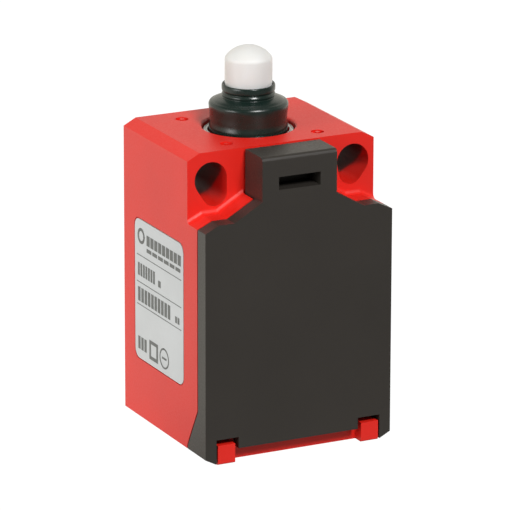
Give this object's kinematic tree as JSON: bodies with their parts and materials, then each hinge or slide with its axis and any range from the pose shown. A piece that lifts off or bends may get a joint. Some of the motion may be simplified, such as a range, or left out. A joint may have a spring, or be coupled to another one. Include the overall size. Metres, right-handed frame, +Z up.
{
  "type": "limit switch",
  "caption": "Red plunger limit switch: box housing with fixing holes, hinged dark front cover, rubber-booted domed plunger on top and a contact block inside.",
  "frame": {"origin": "middle of the housing's underside, centred on the whole part's width and depth", "axes": "+Z up along the plunger, -Y out of the front cover, +Y into the surface it is mounted on"},
  "size_m": [0.04, 0.0364, 0.0763],
  "materials": {
    "housing_plastic": "moulded red plastic, fine satin grain",
    "cover_plastic": "moulded dark grey plastic, satin grain",
    "gasket_rubber": "soft black rubber",
    "boot_rubber": "smooth black rubber, slightly glossy",
    "ring_metal": "turned grey metal",
    "guide_plastic": "black acetal",
    "plunger_plastic": "smooth white acetal",
    "label_foil": "silver-grey printed film",
    "block_plastic": "black thermoset plastic",
    "window_plastic": "smoky clear plastic",
    "contact_brass": "stamped brass with silver tips",
    "plated_steel": "zinc-plated steel",
    "spring_steel": "drawn spring steel wire"
  },
  "bodies": {
    "housing": {"housing": "housing_plastic", "boot": "boot_rubber", "retaining_ring": "ring_metal", "plunger_guide": "guide_plastic", "label": "label_foil", "contact_block_base": "block_plastic", "contact_block_cover": "window_plastic", "terminal_strip_nc_left": "contact_brass", "terminal_strip_nc_right": "contact_brass", "terminal_strip_no_left": "contact_brass", "terminal_strip_no_right": "contact_brass", "clamp_plate_nc_left": "plated_steel", "clamp_plate_nc_right": "plated_steel", "clamp_plate_no_left": "plated_steel", "clamp_plate_no_right": "plated_steel", "terminal_screw_nc_left": "plated_steel", "terminal_screw_nc_right": "plated_steel", "terminal_screw_no_left": "plated_steel", "terminal_screw_no_right": "plated_steel", "block_screw_left": "plated_steel", "block_screw_right": "plated_steel", "plunger_spring": "spring_steel", "rod_return_spring": "spring_steel"},
    "cover": {"cover": "cover_plastic", "cover_gasket": "gasket_rubber"},
    "plunger": {"plunger": "plunger_plastic", "push_rod": "block_plastic", "bridge_spring_nc": "spring_steel", "bridge_spring_no": "spring_steel"},
    "bridge_nc": {"contact_bridge_nc": "contact_brass"},
    "bridge_no": {"contact_bridge_no": "contact_brass"}
  },
  "joints": [
    {"name": "cover_hinge", "type": "hinge", "parent": "housing", "child": "cover", "pos_m": [0, -0.0119, 0.0017], "axis": [1, 0, 0], "range_deg": [0, 90]},
    {"name": "plunger_slide", "type": "slide", "parent": "housing", "child": "plunger", "axis": [0, 0, -1], "range_m": [0, 0.0045], "stiffness_N_per_m": 800, "springref_m": -0.0125, "deforming": ["boot", "plunger_spring", "rod_return_spring"]},
    {"name": "bridge_nc_slide", "type": "slide", "parent": "plunger", "child": "bridge_nc", "axis": [0, 0, 1], "range_m": [0, 0.0018], "deforming": ["bridge_spring_nc"]},
    {"name": "bridge_no_slide", "type": "slide", "parent": "plunger", "child": "bridge_no", "axis": [0, 0, 1], "range_m": [0, 0.0028], "deforming": ["bridge_spring_no"]}
  ],
  "couplings": [
    {"joint": "bridge_nc_slide", "follows": "plunger_slide", "ratio": 0.4},
    {"joint": "bridge_no_slide", "follows": "plunger_slide", "ratio": 0.62}
  ]
}
